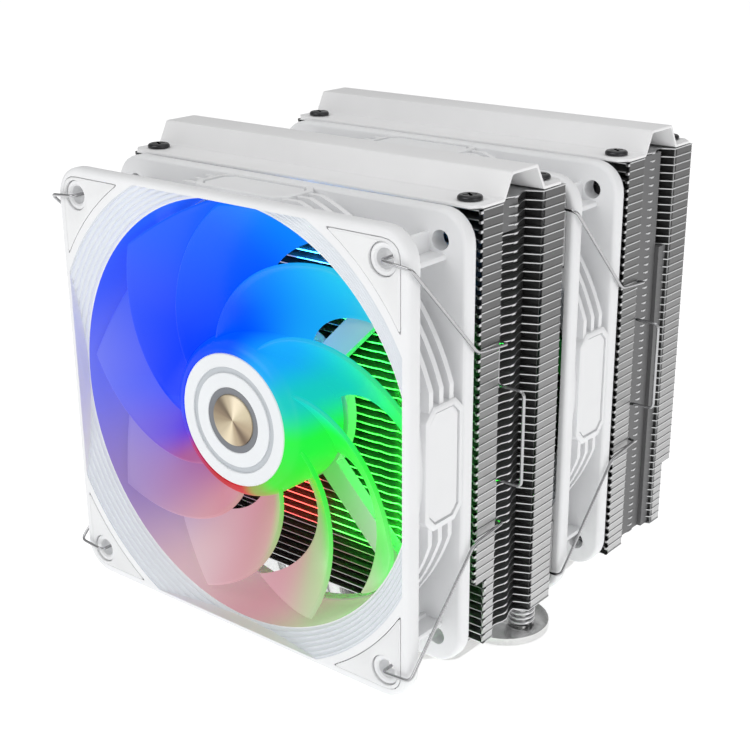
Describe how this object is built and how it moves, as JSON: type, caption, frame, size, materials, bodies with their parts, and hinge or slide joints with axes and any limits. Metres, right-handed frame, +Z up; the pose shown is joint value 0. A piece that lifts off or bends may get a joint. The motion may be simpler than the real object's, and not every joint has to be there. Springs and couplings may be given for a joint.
{
  "type": "processor tower cooler",
  "caption": "Dual-tower processor air cooler with heat pipes through stacked fins and clipped-on square fans in white frames.",
  "frame": {"origin": "centre of the cold plate's contact face, which rests on the processor", "axes": "+Z up away from the processor along the towers, -Y towards the front fan's intake, +X to the right seen from the front"},
  "size_m": [0.133, 0.135, 0.1583],
  "materials": {
    "frame_plastic": "satin white moulded plastic",
    "cap_plastic": "satin white with turned rings",
    "pad_rubber": "matte pale grey-white",
    "blade_plastic": "frosted translucent, lit from the hub",
    "medallion_gold": "turned and anodised champagne gold",
    "fin_aluminium": "bare rolled sheet",
    "cover_paint": "satin white powder coat",
    "nickel": "nickel plated",
    "pipe_nickel": "nickel-plated copper pipe, polished",
    "screw_black": "black zinc",
    "spring_steel": "bright wire",
    "clip_steel": "bright wire",
    "stator_steel": "laminated dark steel",
    "bearing_bronze": "sintered bronze"
  },
  "bodies": {
    "cooler": {"cold_plate": "nickel", "pipe_clamp": "nickel", "mounting_bracket": "nickel", "heatpipe_1": "pipe_nickel", "heatpipe_2": "pipe_nickel", "heatpipe_3": "pipe_nickel", "heatpipe_4": "pipe_nickel", "heatpipe_5": "pipe_nickel", "heatpipe_6": "pipe_nickel", "fin_stack_front": "fin_aluminium", "cover_front": "cover_paint", "cover_screw_front_front_left": "screw_black", "cover_screw_front_front_right": "screw_black", "cover_screw_front_back_left": "screw_black", "cover_screw_front_back_right": "screw_black", "fin_stack_rear": "fin_aluminium", "cover_rear": "cover_paint", "cover_screw_rear_front_left": "screw_black", "cover_screw_rear_front_right": "screw_black", "cover_screw_rear_back_left": "screw_black", "cover_screw_rear_back_right": "screw_black", "bracket_screw_front_left": "screw_black", "bracket_screw_front_right": "screw_black", "bracket_screw_rear_left": "screw_black", "bracket_screw_rear_right": "screw_black", "spring_left": "spring_steel", "spring_right": "spring_steel"},
    "washer_left": {"spring_washer_left": "spring_steel"},
    "screw_left": {"spring_screw_left": "nickel"},
    "washer_right": {"spring_washer_right": "spring_steel"},
    "screw_right": {"spring_screw_right": "nickel"},
    "front_fan": {"front_fan_frame": "frame_plastic", "front_bearing_sleeve": "bearing_bronze", "front_stator_core": "stator_steel", "front_pad_top_right": "pad_rubber", "front_pad_top_left": "pad_rubber", "front_pad_bottom_left": "pad_rubber", "front_pad_bottom_right": "pad_rubber"},
    "front_rotor": {"front_impeller": "blade_plastic", "front_hub_cap": "cap_plastic", "front_hub_medallion": "medallion_gold", "front_magnet_ring": "stator_steel", "front_shaft": "spring_steel"},
    "front_clip_left": {"front_clip_left": "clip_steel"},
    "front_clip_right": {"front_clip_right": "clip_steel"},
    "middle_fan": {"middle_fan_frame": "frame_plastic", "middle_bearing_sleeve": "bearing_bronze", "middle_stator_core": "stator_steel", "middle_pad_top_right": "pad_rubber", "middle_pad_top_left": "pad_rubber", "middle_pad_bottom_left": "pad_rubber", "middle_pad_bottom_right": "pad_rubber"},
    "middle_rotor": {"middle_impeller": "blade_plastic", "middle_hub_cap": "cap_plastic", "middle_hub_medallion": "medallion_gold", "middle_magnet_ring": "stator_steel", "middle_shaft": "spring_steel"},
    "middle_clip_left": {"middle_clip_left": "clip_steel"},
    "middle_clip_right": {"middle_clip_right": "clip_steel"}
  },
  "joints": [
    {"name": "spring_screw_left_press", "type": "slide", "parent": "cooler", "child": "washer_left", "axis": [0, 0, -1], "range_m": [0, 0.0035], "stiffness_N_per_m": 500, "springref_m": -0.002, "deforming": ["spring_left"]},
    {"name": "spring_screw_left_turn", "type": "hinge", "parent": "washer_left", "child": "screw_left", "pos_m": [-0.0406, 0, 0.012], "axis": [0, 0, 1], "continuous": true},
    {"name": "spring_screw_right_press", "type": "slide", "parent": "cooler", "child": "washer_right", "axis": [0, 0, -1], "range_m": [0, 0.0035], "stiffness_N_per_m": 500, "springref_m": -0.002, "deforming": ["spring_right"]},
    {"name": "spring_screw_right_turn", "type": "hinge", "parent": "washer_right", "child": "screw_right", "pos_m": [0.0406, 0, 0.012], "axis": [0, 0, 1], "continuous": true},
    {"name": "front_fan_height", "type": "slide", "parent": "cooler", "child": "front_fan", "axis": [0, 0, 1], "range_m": [0, 0.012]},
    {"name": "front_fan_spin", "type": "hinge", "parent": "front_fan", "child": "front_rotor", "pos_m": [0, -0.0805, 0.092], "axis": [0, -1, 0], "continuous": true},
    {"name": "front_clip_left_swing", "type": "hinge", "parent": "front_fan", "child": "front_clip_left", "pos_m": [-0.0525, -0.0805, 0.092], "axis": [0, 0, 1], "range_deg": [0, 12]},
    {"name": "front_clip_right_swing", "type": "hinge", "parent": "front_fan", "child": "front_clip_right", "pos_m": [0.0525, -0.0805, 0.092], "axis": [0, 0, -1], "range_deg": [0, 12]},
    {"name": "middle_fan_height", "type": "slide", "parent": "cooler", "child": "middle_fan", "axis": [0, 0, 1], "range_m": [0, 0.012]},
    {"name": "middle_fan_spin", "type": "hinge", "parent": "middle_fan", "child": "middle_rotor", "pos_m": [0, -0.012, 0.092], "axis": [0, -1, 0], "continuous": true},
    {"name": "middle_clip_left_swing", "type": "hinge", "parent": "middle_fan", "child": "middle_clip_left", "pos_m": [-0.0525, -0.012, 0.092], "axis": [0, 0, 1], "range_deg": [0, 12]},
    {"name": "middle_clip_right_swing", "type": "hinge", "parent": "middle_fan", "child": "middle_clip_right", "pos_m": [0.0525, -0.012, 0.092], "axis": [0, 0, -1], "range_deg": [0, 12]}
  ]
}
